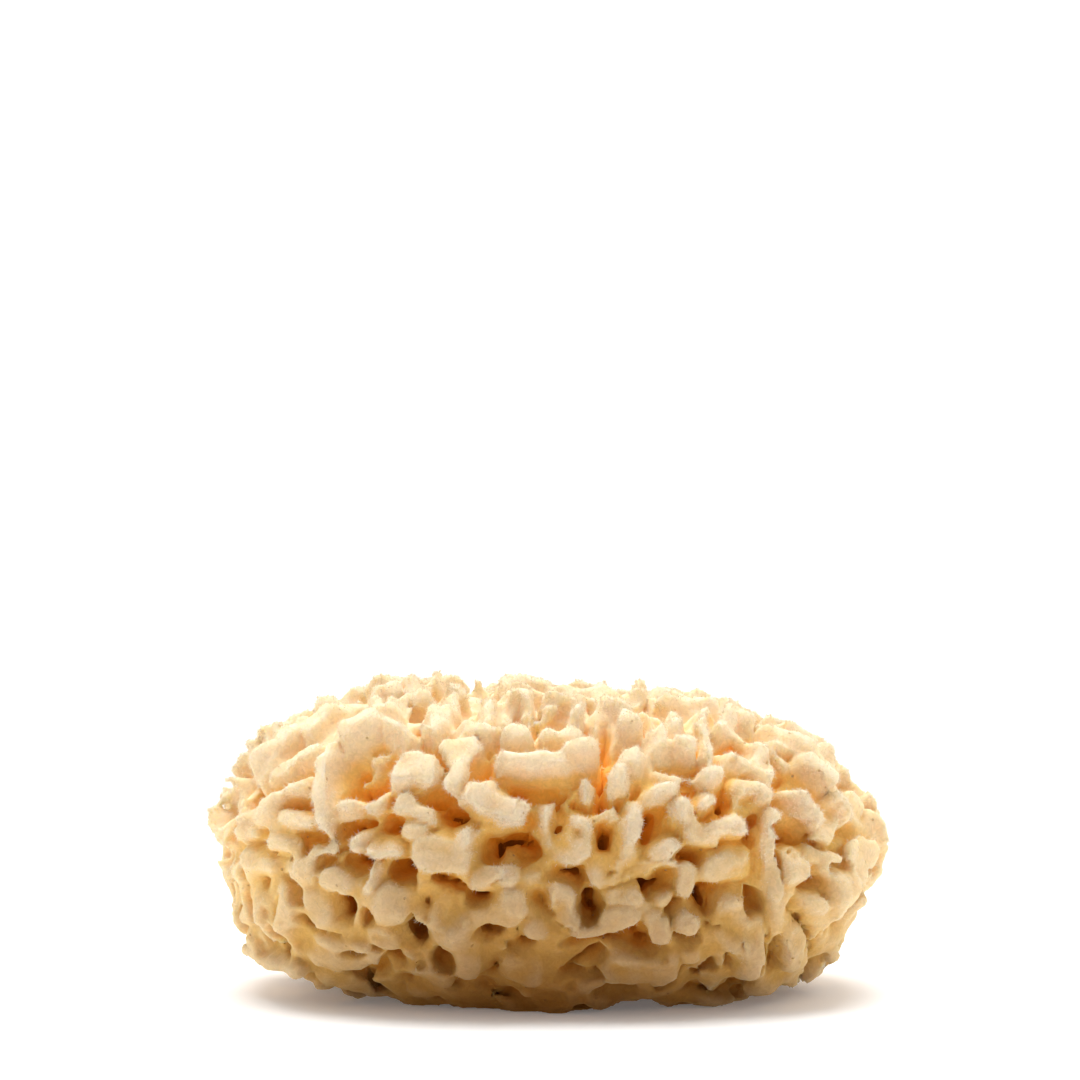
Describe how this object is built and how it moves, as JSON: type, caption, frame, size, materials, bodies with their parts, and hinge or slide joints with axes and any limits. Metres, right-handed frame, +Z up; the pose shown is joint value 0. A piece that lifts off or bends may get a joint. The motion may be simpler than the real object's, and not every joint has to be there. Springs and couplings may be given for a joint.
{
  "type": "sea sponge",
  "caption": "Dried natural sea sponge, a long rounded loaf of knobbly lobes, deep pits and winding gaps, cut flat underneath to rest on; soaks up and holds water for bathing.",
  "frame": {"origin": "middle of the footprint, on the flat cut that the sponge rests on", "axes": "+X along the sponge's long side, -Y towards its front with the big block-shaped lobe, +Z up"},
  "size_m": [0.14, 0.0998, 0.0667],
  "materials": {
    "sponge": "dry, matte, springy fibre skeleton; cream on the lobes and deeper orange-brown down in the pits"
  },
  "bodies": {
    "root": {"sponge": "sponge"}
  },
  "joints": []
}
